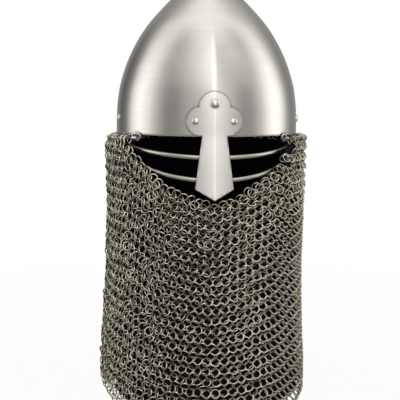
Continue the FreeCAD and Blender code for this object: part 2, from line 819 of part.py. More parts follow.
def build():
    parts = {}
    nasal = make_nasal()
    skull = make_skull()
    nasal_places = nasal_rivet_places(nasal)
    side_places = {}
    chin_places = {}
    for side, word in ((1, "left"), (-1, "right")):
        side_places["side_rivet_" + word] = side_place(side, side_rivet_turn, side_rivet_height,
                                                       rivet_seat_gap)
        chin_places["chin_rivet_" + word] = side_place(side, chin_rivet_turn, chin_rivet_height,
                                                       rivet_seat_gap)
    back = ridge_face(skull, rear_rivet_height - rivet_head_radius, 1) + rivet_seat_gap
    rear = ridge_place(1, back, rear_rivet_height)

    band_grip = -headband_offsets()[1]
    chin_grip = -chin_offsets()[1]
    rivet_play = rivet_seat_gap + leather_gap
    ridge_fall = 2 * rivet_burr_radius * rim_offset / rim_radius
    bore = rivet_hole(4 * band_grip)
    through = list(nasal_places.values()) + list(side_places.values()) + list(chin_places.values())
    holes = [placed(bore, place) for place in through + [rear]]

    def drilled(shape):
        for hole in holes:
            shape = shape.cut(hole)
        return shape

    parts["skull"] = drilled(skull)
    parts["nasal"] = drilled(nasal)
    stand = nasal_seat_gap + nasal_thickness
    for name, place in nasal_places.items():
        grip = stand + (skull_wall + wall_gap if name == "nasal_rivet_top" else band_grip)
        parts[name] = placed(rivet(rivet_head_radius, rivet_head_rise, grip + rivet_play), place)
    for name, place in side_places.items():
        parts[name] = placed(rivet(rivet_head_radius, rivet_head_rise, band_grip + rivet_play), place)
    parts["liner_rivet_rear"] = placed(
        rivet(rivet_head_radius, rivet_head_rise, band_grip + rivet_play + ridge_fall), rear)
    for name, place in chin_places.items():
        parts[name] = placed(rivet(rivet_head_radius, rivet_head_rise, chin_grip + rivet_play), place)

    parts["guard_strut_left"] = drilled(make_strut(1))
    parts["guard_strut_right"] = drilled(make_strut(-1))
    parts["eye_bar_upper"] = make_bar(bar_upper_setback, bar_upper_drop, bar_upper_rise)
    parts["eye_bar_lower"] = make_bar(bar_lower_setback, bar_lower_drop, bar_lower_rise)

    vervelle = make_vervelle()
    for number, place in enumerate(vervelle_places(), 1):
        parts["vervelle_%02d" % number] = placed(vervelle, place)
    parts["aventail_wire"] = make_wire()
    parts["mail_aventail"] = make_mail()
    parts["aventail_lining"] = make_lining()

    harness_holes = Part.makeCompound(
        [placed(rivet_hole(4 * leather_thickness), place) for place in harness_rivet_places()])
    parts["headband"] = drilled(make_headband()).cut(harness_holes)
    crown_hole = Part.makeCylinder(rivet_shank_radius + rivet_hole_clearance, strap_crest(),
                                   V(0, 0, crown_strap_straight))
    parts["crown_strap_across"] = make_cross_strap().cut(crown_hole).cut(harness_holes)
    parts["crown_strap_lengthwise"] = make_long_strap().cut(crown_hole).cut(harness_holes)
    parts["crown_rivet"] = make_crown_rivet()
    parts["harness_rivets"] = make_harness_rivets()

    parts["chin_strap_buckle_half"] = placed(make_buckle_strap(), chin_place(1))
    parts["chin_strap_tail_half"] = placed(make_tail_strap(), chin_place(-1))
    parts["buckle_frame"] = placed(make_buckle_frame(), chin_place(1))
    parts["buckle_prong"] = placed(make_prong(), chin_place(1))
    parts["strap_keeper"] = placed(make_keeper(), chin_place(1))
    return parts


os.makedirs("parts", exist_ok=True)
for part_name, part_shape in build().items():
    part_shape.exportStep("parts/%s.step" % part_name)
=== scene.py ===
"""Nasal helmet with a mail aventail: its visible pieces, their finishes, the stage and the camera.

Metres, +Z up. The origin is the centre of the rim plane, the nasal faces -Y and the wearer's
left is +X. The rigid frame gives the sizes of what it carries.
"""
from math import acos, asin, atan2, copysign, cos, hypot, pi, radians, sin, sqrt

import bpy
import numpy as np
from bpy.props import FloatProperty, FloatVectorProperty, IntProperty, PointerProperty
from mathutils import Matrix, Vector


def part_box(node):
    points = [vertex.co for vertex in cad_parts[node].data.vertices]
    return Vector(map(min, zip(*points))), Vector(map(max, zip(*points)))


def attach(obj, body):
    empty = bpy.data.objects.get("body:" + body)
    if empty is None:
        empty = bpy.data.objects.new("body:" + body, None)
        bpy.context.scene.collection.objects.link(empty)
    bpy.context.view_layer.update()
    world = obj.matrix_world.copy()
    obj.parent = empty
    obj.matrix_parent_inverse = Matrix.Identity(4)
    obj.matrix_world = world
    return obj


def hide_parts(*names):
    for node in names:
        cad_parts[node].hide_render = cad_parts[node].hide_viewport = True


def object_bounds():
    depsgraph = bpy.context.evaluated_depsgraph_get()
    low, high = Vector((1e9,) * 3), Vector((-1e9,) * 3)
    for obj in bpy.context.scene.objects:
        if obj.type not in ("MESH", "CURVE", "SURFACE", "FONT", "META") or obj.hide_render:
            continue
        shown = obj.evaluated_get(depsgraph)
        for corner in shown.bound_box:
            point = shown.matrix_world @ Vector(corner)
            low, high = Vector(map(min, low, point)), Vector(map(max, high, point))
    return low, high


bl_info = {
    "name": "Nasal Helmet with Mail Aventail",
    "version": (1, 0, 0),
    "blender": (4, 5, 0),
    "location": "View3D > Sidebar > Helmet",
    "description": "Builds the skull, nasal, eye guard, mail, harness and stage of a nasal helmet",
    "category": "Add Mesh",
}

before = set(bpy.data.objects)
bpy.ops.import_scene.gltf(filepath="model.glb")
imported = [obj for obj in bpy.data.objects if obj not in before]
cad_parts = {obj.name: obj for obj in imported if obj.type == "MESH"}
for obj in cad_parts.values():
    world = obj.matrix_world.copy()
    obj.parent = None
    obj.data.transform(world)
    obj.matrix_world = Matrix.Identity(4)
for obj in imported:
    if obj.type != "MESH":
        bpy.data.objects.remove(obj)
cad_low, cad_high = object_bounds()

MM = 0.001

# Skull, as shares of its height with the width share there, from the rim to the point
skull_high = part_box("skull")[1]
skull_half_width = skull_high.x
skull_half_length = skull_high.y
skull_height = skull_high.z
skull_wall = 2.0 * MM
skull_ease = 0.25 * MM
skull_profile_shares = [
    (0.0, 1.0), (0.07, 0.9993), (0.14, 0.9957), (0.25, 0.972), (0.375, 0.911), (0.5, 0.812),
    (0.62, 0.676), (0.74, 0.483), (0.86, 0.255), (0.95, 0.094), (1.0, 0.012)]

# Side arcs of the rim's plan, which meet in the soft ridge
rim_radius = (skull_half_width ** 2 + skull_half_length ** 2) / (2 * skull_half_width)
rim_offset = rim_radius - skull_half_width
ridge_turn = asin(skull_half_length / rim_radius)

# Nasal
nasal_thickness = 3.0 * MM
nasal_ease = 0.5 * MM
nasal_seat_gap = 0.3 * MM
nasal_drop = 68.0 * MM
nasal_corner_drop = 56.0 * MM
nasal_corner_half_width = 20.8 * MM
nasal_neck_half_width = 13.4 * MM
nasal_top_lobe_radius = 17.0 * MM
nasal_top_lobe_height = 31.0 * MM
nasal_side_lobe_radius = 15.5 * MM
nasal_side_lobe_height = 16.4 * MM
nasal_side_lobe_reach = 14.8 * MM
nasal_flare_share = 6.5 / 68.0
nasal_keel_ease = 0.7 * MM
nasal_cut_pitch = 3.0 * MM

# Mail's wire, and its place past the rim
wire_drop = 3.8 * MM
wire_offset = -0.4 * MM

# Drop below the rim, how far the mail stands out past it at the sides, in front and behind, and
# the depth of its folds
mail_levels = MM * np.array([
    (0.0, 6.4, 4.0, 7.4, 0.0),
    (12.0, 9.2, 5.0, 10.0, 0.3),
    (75.0, 8.3, 1.0, 8.0, 0.8),
    (140.0, 8.0, 0.0, 6.0, 1.2),
    (215.0, 10.6, 2.0, 6.0, 1.6),
    (272.0, 13.2, 4.5, 8.0, 1.8),
    (340.0, 13.2, 5.0, 8.0, 1.8)])
mail_hem_drop = 279.0 * MM
mail_front_droop = 40.0 * MM
mail_first_row_drop = 9.0 * MM
mail_edge_drop = 76.0 * MM
mail_edge_turn = radians(56.0)
mail_left_lift = 8.0 * MM
mail_right_lift = 9.0 * MM
mail_lean = -1.9 * MM
row_rise = 17.0 * MM

# Rings: which stay clear of the vervelles, how they lean and swing, and how unevenly they lie
vervelle_clear_turn = radians(58.0)
vervelle_clear_drop = 13.0 * MM
vervelle_clear_reach = 5.2 * MM
hanging_turn = radians(60.0)
open_lean = radians(38.0)
strand_leans = [(26, 66), (36, 63), (45, 59), (60, 47), (75, 39), (88, 26)]
both_swing = radians(10.0)
free_swing = radians(20.0)
row_swing = radians(12.0)
edge_swing = radians(-15.0)
uneven_turn = 0.0055
uneven_share = 0.0014
uneven_lean = radians(11)
uneven_roll = radians(8)
uneven_depth = 0.3 * MM
uneven_hanging = radians(12)

# Cloth behind the mail
lining_inset = 4.3 * MM
lining_thickness = 1.0 * MM
lining_top_drop = 7.0 * MM
lining_edge_drop = 4.0 * MM
lining_hem_lift = 7.0 * MM
lining_columns, lining_rows = 144, 40


def count_property(name, default, low, description):
    return IntProperty(name=name, default=default, min=low, description=description)


def length_property(name, default, description):
    return FloatProperty(name=name, default=default, unit="LENGTH", description=description)


def colour_property(name, default, description):
    return FloatVectorProperty(name=name, subtype="COLOR", size=3, default=default,
                               description=description)


class HelmetSizes(bpy.types.PropertyGroup):
    skull_levels: count_property("Skull levels", 72, 12, "Rings of faces from the rim to the point")
    skull_sides: count_property("Skull sides", 176, 32, "Faces round the skull")
    ring_bore: length_property("Ring bore", 8.0 * MM, "Inside diameter of a mail ring")
    ring_wire: length_property("Ring wire", 1.4 * MM, "Wire diameter of a mail ring")
    mail_columns: count_property("Mail columns", 86, 24, "Rings in one row round the aventail")
    mail_rows: count_property("Mail rows", 47, 6, "Rows of rings from the top edge to the hem")
    ring_tilt: FloatProperty(name="Ring tilt", default=radians(30.0), subtype="ANGLE",
                             description="How far the rings of a row lean about the row")


class HelmetColours(bpy.types.PropertyGroup):
    skull: colour_property("Skull steel", (0.63, 0.60, 0.56), "Satin steel of the skull")
    nasal: colour_property("Nasal steel", (0.73, 0.71, 0.67), "Satin steel of the nasal")
    rivet: colour_property("Rivet steel", (0.70, 0.67, 0.62), "Steel of the rivets")
    bar: colour_property("Bar steel", (0.56, 0.53, 0.47), "Steel of the eye guard")
    mail: colour_property("Mail steel", (0.92, 0.88, 0.71), "Oiled wire of the rings")
    cloth: colour_property("Lining cloth", (0.006, 0.006, 0.007), "Black cloth")
    leather: colour_property("Leather", (0.02, 0.016, 0.014), "Black leather")


def sizes():
    return bpy.context.scene.helmet_sizes


def colours():
    return bpy.context.scene.helmet_colours


# Curves shared by the pieces

def smooth_through(points, x):
    """Value at x of a smooth curve that keeps the order of its points and never overshoots."""
    xs, ys = np.array(points).T
    slopes = np.diff(ys) / np.diff(xs)
    bends = np.zeros(len(xs))
    inner = slopes[:-1] * slopes[1:] > 0
    bends[1:-1][inner] = 2 / (1 / slopes[:-1][inner] + 1 / slopes[1:][inner])
    bends[0], bends[-1] = slopes[0], slopes[-1]
    x = np.clip(x, xs[0], xs[-1])
    i = np.clip(np.searchsorted(xs, x, side="right") - 1, 0, len(xs) - 2)
    step = xs[i + 1] - xs[i]
    t = (x - xs[i]) / step
    return ((2 * t ** 3 - 3 * t ** 2 + 1) * ys[i] + (t ** 3 - 2 * t ** 2 + t) * step * bends[i]
            + (3 * t ** 2 - 2 * t ** 3) * ys[i + 1] + (t ** 3 - t ** 2) * step * bends[i + 1])


def width_share(height_share):
    return float(smooth_through(skull_profile_shares, height_share))


def rim_point(side, turn, z=0.0, offset=0.0):
    """Point outside the rim's wall, and the way out from it. turn runs from the temple to the
    front, and is negative behind the temple. side is 1 or -1."""
    reach = rim_radius + offset
    out = Vector((side * cos(turn), -sin(turn), 0))
    return Vector((side * (reach * cos(turn) - rim_offset), -reach * sin(turn), z)), out


# Mesh helpers

def only(piece):
    """Leaves just this piece selected and active."""
    bpy.ops.object.select_all(action="DESELECT")
    piece.select_set(True)
    bpy.context.view_layer.objects.active = piece


def edit(piece):
    """Opens the piece's mesh with all of it selected."""
    only(piece)
    bpy.ops.object.mode_set(mode="EDIT")
    bpy.ops.mesh.select_mode(type="VERT")
    bpy.ops.mesh.select_all(action="SELECT")


def leave():
    bpy.ops.object.mode_set(mode="OBJECT")


def new_piece(name):
    """Names the active new object, and puts its place into its mesh."""
    piece = bpy.context.active_object
    piece.name = name
    piece.data.name = name
    only(piece)
    bpy.ops.object.transform_apply(location=True, rotation=True, scale=True)
    return piece


def linked(name, data):
    """New object of this data, put into the scene."""
    piece = bpy.data.objects.new(name, data)
    bpy.context.collection.objects.link(piece)
    return piece


def mesh_piece(name, points, edges, faces):
    mesh = bpy.data.meshes.new(name)
    mesh.from_pydata([tuple(p) for p in points], edges, faces)
    return linked(name, mesh)


def outward(piece):
    """Closes doubled points and turns all faces outwards."""
    edit(piece)
    bpy.ops.mesh.remove_doubles(threshold=0.005 * MM)
    bpy.ops.mesh.normals_make_consistent(inside=False)
    leave()


def ease_edges(piece, width, segments):
    """Rounds the piece's sharp edges over."""
    ease = piece.modifiers.new("Ease", "BEVEL")
    ease.width = width
    ease.segments = segments
    ease.limit_method = "ANGLE"
    ease.angle_limit = radians(50)


def apply_all(piece):
    only(piece)
    for modifier in list(piece.modifiers):
        bpy.ops.object.modifier_apply(modifier=modifier.name)


def give_wall(piece, thickness, bevel=0.0):
    """Wall inwards from the modelled face, with its edges eased."""
    wall = piece.modifiers.new("Wall", "SOLIDIFY")
    wall.thickness = thickness
    wall.offset = -1.0
    wall.use_even_offset = True
    if bevel:
        ease_edges(piece, bevel, 2)
    apply_all(piece)


def smooth(piece, angle=radians(40)):
    only(piece)
    bpy.ops.object.shade_smooth_by_angle(angle=angle)


def coat(piece, finish_name):
    """Gives the piece one of the finishes in place of what it has."""
    piece.data.materials.clear()
    piece.data.materials.append(finishes[finish_name])


def dress(piece, finish_name, body, node):
    """Gives a finished piece its material, its body and the node it stands for."""
    coat(piece, finish_name)
    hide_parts(node)
    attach(piece, body)


def lathe(name, profile, start, out):
    """Turned piece: profile points (along, radius) spun about the line from start along out."""
    points = [(along, radius, 0.0) for along, radius in profile]
    piece = mesh_piece(name, points, [(i, i + 1) for i in range(len(points) - 1)], [])
    edit(piece)
    bpy.ops.mesh.spin(steps=lathe_sides, angle=2 * pi, center=(0, 0, 0), axis=(1, 0, 0))
    leave()
    outward(piece)
    side = Vector((0, 0, 1)).cross(out).normalized()
    turn = Matrix((out, side, out.cross(side))).transposed().to_4x4()
    piece.data.transform(Matrix.Translation(start) @ turn)
    smooth(piece)
    return piece


def template_of(piece):
    """Points and faces of a piece that only serves to be copied."""
    points = np.array([v.co for v in piece.data.vertices])
    faces = np.array([p.vertices[:] for p in piece.data.polygons])
    bpy.data.objects.remove(piece)
    return points, faces


# Finishes

def feed(tree, sockets, values):
    """Puts a constant, or a link from another node, on each named socket."""
    for name, value in values.items():
        if isinstance(value, bpy.types.NodeSocket):
            tree.links.new(value, sockets[name])
        else:
            sockets[name].default_value = value


def add_node(tree, kind, inputs, **settings):
    """New shader node with its settings and what goes into its inputs."""
    node = tree.nodes.new("ShaderNode" + kind)
    for name, value in settings.items():
        setattr(node, name, value)
    feed(tree, node.inputs, inputs)
    return node


def math_node(tree, operation, *values):
    return add_node(tree, "Math", dict(enumerate(values)), operation=operation).outputs[0]


def plus(tree, first, second):
    return math_node(tree, "ADD", first, second)


def times(tree, first, second):
    return math_node(tree, "MULTIPLY", first, second)


def ranged(tree, value, low, high, way="LINEAR"):
    """0 where the value is low and 1 where it is high."""
    return add_node(tree, "MapRange", {"Value": value, "From Min": low, "From Max": high},
                    interpolation_type=way).outputs["Result"]


def object_place(tree):
    return tree.nodes.new("ShaderNodeTexCoord").outputs["Object"]


def noise(tree, vector, scale, detail, rough):
    return add_node(tree, "TexNoise", {"Vector": vector, "Scale": scale, "Detail": detail,
                                       "Roughness": rough}).outputs["Fac"]


def stretched(tree, vector, scale):
    return add_node(tree, "Mapping", {"Vector": vector, "Scale": scale}).outputs["Vector"]


def mix_colour(tree, factor, first, second):
    return add_node(tree, "Mix", {"Factor": factor, 6: first, 7: second},
                    data_type="RGBA").outputs[2]


def bump(tree, height, strength, distance):
    return add_node(tree, "Bump", {"Height": height, "Strength": strength,
                                   "Distance": distance}).outputs["Normal"]


def socket_kind(is_colour):
    return "NodeSocketColor" if is_colour else "NodeSocketFloat"


def new_group(name, inputs, outputs):
    """Empty shader group, and the sockets inside it. An input given as a tuple is a colour."""
    tree = bpy.data.node_groups.new(name, "ShaderNodeTree")
    for socket, value in inputs.items():
        tree.interface.new_socket(socket, in_out="INPUT", socket_type=socket_kind(
            isinstance(value, tuple))).default_value = value
    for socket in outputs:
        tree.interface.new_socket(socket, in_out="OUTPUT",
                                  socket_type=socket_kind(socket == "Colour"))
    given, out = tree.nodes.new("NodeGroupInput"), tree.nodes.new("NodeGroupOutput")
    return tree, given.outputs, out.inputs


def feed_surface(tree, given, out, factor, dark, shade, height):
    """Fills a group's outputs: factor mixes in the dark colour, and shade roughens."""
    feed(tree, out, {
        "Colour": mix_colour(tree, factor, given["Colour"], given[dark]),
        "Roughness": plus(tree, given["Roughness"], times(tree, shade, given["Spread"])),
        "Height": height})


def brushing_group():
    """Fine level brushing with soft patches: colour, roughness and height."""
    tree, given, out = new_group(
        "Level Brushing",
        {"Colour": (0.6, 0.6, 0.6, 1), "Shade": (0.4, 0.4, 0.4, 1), "Line Share": 0.3,
         "Patch Share": 0.15, "Roughness": 0.3, "Spread": 0.1},
        ("Colour", "Roughness", "Height"))
    at = object_place(tree)
    fine = noise(tree, stretched(tree, at, (18.0, 18.0, 1500.0)), 1.0, 3.0, 0.6)
    broad = noise(tree, stretched(tree, at, (9.0, 9.0, 260.0)), 1.0, 2.0, 0.5)
    patch = noise(tree, at, 22.0, 4.0, 0.55)
    lines = plus(tree, times(tree, fine, 0.65), times(tree, broad, 0.35))
    shade = plus(tree, times(tree, plus(tree, lines, -0.5), given["Line Share"]),
                 times(tree, plus(tree, patch, -0.5), given["Patch Share"]))
    factor = plus(tree, times(tree, shade, 2.0), 0.35)
    feed_surface(tree, given, out, factor, "Shade", shade, lines)
    return tree


def speckle_group():
    """Worn patches and dark specks for wire, leather and small steel."""
    tree, given, out = new_group(
        "Worn Speckle",
        {"Colour": (0.4, 0.4, 0.4, 1), "Dark": (0.1, 0.1, 0.1, 1), "Scale": 300.0, "Share": 0.5,
         "Roughness": 0.4, "Spread": 0.2},
        ("Colour", "Roughness", "Height"))
    spots = noise(tree, object_place(tree), given["Scale"], 4.0, 0.65)
    worn_and_lit = ranged(tree, spots, 0.35, 0.7)
    feed_surface(tree, given, out, times(tree, worn_and_lit, given["Share"]), "Dark", worn_and_lit, spots)
    return tree


def grime_group():
    """Painted shade: darkens the colour where pieces meet and in hollows, where shade falls."""
    tree, given, out = new_group(
        "Painted Seam Shade",
        {"Colour": (0.6, 0.6, 0.6, 1), "Painted Shade": (0.05, 0.045, 0.04, 1), "Reach": 0.0025,
         "Share": 0.8},
        ("Colour",))
    # Painted shade: ambient occlusion darkens the colour in seams and hollows
    near = add_node(tree, "AmbientOcclusion", {"Distance": given["Reach"]}, samples=6)
    factor = times(tree, ranged(tree, near.outputs["AO"], 0.95, 0.52), given["Share"])
    feed(tree, out, {"Colour": mix_colour(tree, factor, given["Colour"], given["Painted Shade"])})
    return tree


def weave_group():
    """Plain woven cloth: over and under threads."""
    tree, given, out = new_group(
        "Plain Weave",
        {"Colour": (0.01, 0.01, 0.01, 1), "Lift": (0.02, 0.02, 0.02, 1), "Threads": 1800.0},
        ("Colour", "Height"))
    at = add_node(tree, "SeparateXYZ", {0: object_place(tree)}).outputs
    over, under = [math_node(tree, "SINE", times(tree, value, given["Threads"]))
                   for value in (plus(tree, at["X"], at["Y"]), at["Z"])]
    height = plus(tree, times(tree, times(tree, over, under), 0.5), 0.5)
    feed(tree, out, {"Colour": mix_colour(tree, height, given["Colour"], given["Lift"]),
                     "Height": height})
    return tree


finishes = {}
# Painted shade of the rings, where they face away from the light
mail_painted_shade = (0.085, 0.075, 0.045, 1.0)


def shaded(colour, factor):
    return tuple(c * factor for c in colour)


def rgba(colour):
    return (*colour, 1.0)


def grimed(tree, colour, reach, share):
    """Colour with painted shade in the seams."""
    return add_node(tree, "Group", {"Colour": colour, "Reach": reach, "Share": share},
                    node_tree=finishes["grime"]).outputs["Colour"]


# Wide painted shade in the seams of the large steel pieces
def broad_grime(tree, colour):
    return grimed(tree, colour, 4.0 * MM, 0.9)


# Narrow painted shade round rivets, leather and thread
def fine_grime(tree, colour):
    return grimed(tree, colour, 2.6 * MM, 0.95)


def painted_ring_light(tree, colour):
    """Painted light and shade: the given colour where the rings face the light, the painted shade
    colour behind and between.
    """
    painted_light = add_node(tree, "Attribute", {}, attribute_name="painted_light")
    return mix_colour(tree, painted_light.outputs["Fac"], mail_painted_shade, colour)


def new_material(name):
    material = bpy.data.materials.new(name)
    material.use_nodes = True
    tree = material.node_tree
    return material, tree, next(n for n in tree.nodes if n.type == "BSDF_PRINCIPLED")


def finish(name, group, values, metallic, over, strength, lift):
    """Material from a shared group. over puts painted seam shade, or the rings' painted light and
    shade, on the group's colour.
    """
    material, tree, shader = new_material(name)
    made = add_node(tree, "Group", values, node_tree=group).outputs
    feed(tree, shader.inputs, {
        "Metallic": metallic, "Base Color": over(tree, made["Colour"]),
        "Roughness": made["Roughness"], "Normal": bump(tree, made["Height"], strength, lift * MM)})
    return material


def brushed_steel(name, group, colour, roughness, line_share, patch_share):
    values = {"Colour": rgba(colour), "Shade": rgba(shaded(colour, 0.72)), "Spread": 0.25,
              "Line Share": line_share, "Patch Share": patch_share, "Roughness": roughness}
    # The brushed colour gets wide painted shade in the seams
    return finish(name, group, values, 1.0, broad_grime, 0.25, 0.03)


def speckled(name, group, colour, dark, lift, metallic=1.0, over=fine_grime, **values):
    """Speckled finish, by default with narrow painted shade in the seams. values go to the group's
    inputs of the same names.
    """
    values.update(Colour=rgba(colour), Dark=rgba(dark))
    return finish(name, group, values, metallic, over, 0.4, lift)


def lining_cloth(group):
    material, tree, shader = new_material("lining_cloth")
    cloth = colours().cloth
    woven = add_node(tree, "Group", {"Colour": rgba(cloth), "Lift": rgba(shaded(cloth, 1.8)),
                                     "Threads": 6000.0}, node_tree=group).outputs
    feed(tree, shader.inputs, {"Roughness": 0.95, "Specular IOR Level": 0.05,
                               "Base Color": woven["Colour"],
                               "Normal": bump(tree, woven["Height"], 0.5, 0.15 * MM)})
    return material


class HELMET_OT_finishes(bpy.types.Operator):
    """Makes the shared shader groups and every material"""
    bl_idname = "helmet.finishes"
    bl_label = "Finishes"

    def execute(self, context):
        tone = colours()
        brushing, speckle, weave = brushing_group(), speckle_group(), weave_group()
        # Painted shade for the seams, shared by the steel and leather finishes
        finishes["grime"] = grime_group()
        for name, colour, *values in (("skull", tone.skull, 0.24, 0.25, 0.15),
                                      ("nasal", tone.nasal, 0.3, 0.15, 0.35),
                                      ("bar", tone.bar, 0.33, 0.1, 0.3),
                                      ("vervelle", tone.skull, 0.3, 0.1, 0.2)):
            finishes[name] = brushed_steel(name + "_steel", brushing, colour, *values)
        finishes["rivet"] = speckled(
            "rivet_steel", speckle, tone.rivet, shaded(tone.rivet, 0.35), 0.02,
            Scale=500.0, Share=0.35, Roughness=0.2, Spread=0.1)
        # The mail's colour gets painted light and shade by the way each ring faces
        finishes["mail"] = speckled(
            "mail_steel", speckle, tone.mail, shaded(tone.mail, 0.45), 0.03, over=painted_ring_light,
            Scale=420.0, Share=0.6, Roughness=0.28)
        finishes["leather"] = speckled(
            "harness_leather", speckle, tone.leather, shaded(tone.leather, 0.4), 0.12, 0.0,
            Scale=700.0, Share=0.8, Roughness=0.55)
        finishes["thread"] = speckled(
            "waxed_thread", speckle, shaded(tone.leather, 2.6), tone.leather, 0.05, 0.0,
            Scale=2500.0, Share=0.6, Roughness=0.7)
        finishes["cloth"] = lining_cloth(weave)
        return {"FINISHED"}


# Skull

class HELMET_OT_skull(bpy.types.Operator):
    """Raises the skull level by level from its rim, with the ridge front and back"""
    bl_idname = "helmet.skull"
    bl_label = "Skull"

    def execute(self, context):
        levels, sides = sizes().skull_levels, sizes().skull_sides
        bpy.ops.mesh.primitive_circle_add(vertices=sides, radius=skull_half_width,
                                          fill_type="NOTHING")
        skull = new_piece("skull_shell")
        half = sides // 2
        for vertex in skull.data.vertices:
            step = vertex.index % half
            side = 1 if vertex.index < half else -1
            turn = ridge_turn * (1 - 2 * step / half) * side
            vertex.co = rim_point(side, turn)[0]
        edit(skull)
        step = skull_height / levels
        for level in range(1, levels + 1):
            bpy.ops.mesh.extrude_edges_move(TRANSFORM_OT_translate={"value": (0, 0, step)})
            factor = width_share(level / levels) / width_share((level - 1) / levels)
            bpy.ops.transform.resize(value=(factor, factor, 1),
                                     center_override=(0, 0, step * level))
        bpy.ops.mesh.merge(type="CENTER")
        leave()
        outward(skull)
        give_wall(skull, skull_wall, skull_ease)
        smooth(skull)
        dress(skull, "skull", "helmet", "skull")
        return {"FINISHED"}


# Nasal

def lobes_meet():
    """Where the trefoil's top lobe and side lobe meet."""
    x2, z2 = nasal_side_lobe_reach, nasal_side_lobe_height
    z1, r1, r2 = nasal_top_lobe_height, nasal_top_lobe_radius, nasal_side_lobe_radius
    gap = hypot(x2, z2 - z1)
    along = (gap ** 2 + r1 ** 2 - r2 ** 2) / (2 * gap)
    across = sqrt(r1 ** 2 - along ** 2)
    ux, uz = x2 / gap, (z2 - z1) / gap
    return ux * along - uz * across, z1 + uz * along + ux * across


def arc_points(centre, first, last, count):
    """Points of the arc round centre from first to last."""
    radius = hypot(first[0] - centre[0], first[1] - centre[1])
    start, end = [atan2(z - centre[1], x - centre[0]) for x, z in (first, last)]
    return [(centre[0] + radius * cos(turn), centre[1] + radius * sin(turn))
            for turn in np.linspace(start, end, count + 1)]


def nasal_half_outline():
    """Right half of the outline, from the top of the trefoil to the point."""
    top = (0.0, nasal_top_lobe_height)
    crown = (0.0, nasal_top_lobe_height + nasal_top_lobe_radius)
    lobe = (nasal_side_lobe_reach, nasal_side_lobe_height)
    neck = (nasal_neck_half_width, lobe[1] - sqrt(nasal_side_lobe_radius ** 2
                                                  - (nasal_neck_half_width - lobe[0]) ** 2))
    meet = lobes_meet()
    points = arc_points(top, crown, meet, 12) + arc_points(lobe, meet, neck, 24)[1:]
    return points + [(nasal_corner_half_width, -nasal_corner_drop), (0.0, -nasal_drop)]


def nasal_front(x, z):
    """How far forward the nasal's face lies, from the keel outwards."""
    if z > 0:
        share = width_share(z / skull_height)
        half_length = skull_half_length * share
        radius, offset = rim_radius * share, rim_offset * share
    else:
        half_length = skull_half_length - z * nasal_flare_share
        radius = (skull_half_width ** 2 + half_length ** 2) / (2 * skull_half_width)
        offset = radius - skull_half_width
    grow = nasal_seat_gap + nasal_thickness
    return sqrt((radius + grow) ** 2 - (abs(x) + offset) ** 2)


def cut_lines(piece, places, normal):
    """Cuts the flat piece along planes at these places."""
    edit(piece)
    for place in places:
        bpy.ops.mesh.select_all(action="SELECT")
        bpy.ops.mesh.bisect(plane_co=tuple(place * c for c in normal), plane_no=normal)
    leave()


class HELMET_OT_nasal(bpy.types.Operator):
    """Cuts the trefoil outline from sheet and bends it over the keel"""
    bl_idname = "helmet.nasal"
    bl_label = "Nasal"

    def execute(self, context):
        half = nasal_half_outline()
        outline = half + [(-x, z) for x, z in reversed(half[1:-1])]
        nasal = mesh_piece("nasal_plate", [(x, 0.0, z) for x, z in outline], [],
                           [list(range(len(outline)))])
        widest = nasal_side_lobe_reach + nasal_side_lobe_radius
        keel = [0.0, nasal_keel_ease, -nasal_keel_ease]
        columns = keel + [side * nasal_cut_pitch * i for i in range(1, 11) for side in (1, -1)]
        cut_lines(nasal, [x for x in columns if abs(x) < widest], (1, 0, 0))
        top = nasal_top_lobe_height + nasal_top_lobe_radius
        rows = int((top + nasal_drop) / nasal_cut_pitch)
        cut_lines(nasal, [-nasal_drop + nasal_cut_pitch * (i + 0.5) for i in range(rows)],
                  (0, 0, 1))
        for vertex in nasal.data.vertices:
            vertex.co.y = -nasal_front(vertex.co.x, vertex.co.z)
        outward(nasal)
        if sum(p.normal.y * p.area for p in nasal.data.polygons) > 0:
            nasal.data.flip_normals()
        give_wall(nasal, nasal_thickness, nasal_ease)
        smooth(nasal)
        dress(nasal, "nasal", "helmet", "nasal")
        return {"FINISHED"}


# Rivets

lathe_sides = 28
rivet_head_radius = 5.0 * MM
rivet_head_rise = 2.6 * MM
rivet_shank_radius = 2.0 * MM
rivet_burr_radius = 3.4 * MM
rivet_burr_rise = 1.0 * MM
rivet_burr_ease = 0.3 * MM
nasal_rivet_shift = 1.6 * MM
rivet_nodes = ("nasal_rivet_top", "nasal_rivet_left", "nasal_rivet_right", "side_rivet_left",
               "side_rivet_right", "chin_rivet_left", "chin_rivet_right", "liner_rivet_rear")


def rivet_profile(length):
    """Half section from the crown of the head to the middle of the burr."""
    rise = rivet_head_rise
    sphere = (rivet_head_radius ** 2 + rise ** 2) / (2 * rise)
    spread = asin(rivet_head_radius / sphere)
    dome = [(rise - sphere * (1 - cos(turn)), sphere * sin(turn))
            for turn in np.linspace(0, spread, 8)]
    dome[0] = (rise, 0.0)
    burr = rise - length
    grip = burr + rivet_burr_rise
    return dome + [(0.0, rivet_shank_radius), (grip, rivet_shank_radius),
                   (grip, rivet_burr_radius), (burr + rivet_burr_ease, rivet_burr_radius),
                   (burr, rivet_burr_radius - 0.5 * MM), (burr, 0.0)]


def rivet_way(node, middle):
    """The way out at a rivet: off the nasal's slope, straight back, or out of the rim's arc."""
    if node == "liner_rivet_rear":
        return Vector((0, 1, 0))
    if node == "nasal_rivet_top":
        step = 5 * MM
        slope = (width_share((middle.z + step) / skull_height)
                 - width_share((middle.z - step) / skull_height)) * skull_half_length
        return Vector((0, -1, -slope / (2 * step))).normalized()
    return Vector((middle.x + copysign(rim_offset, middle.x), middle.y, 0)).normalized()


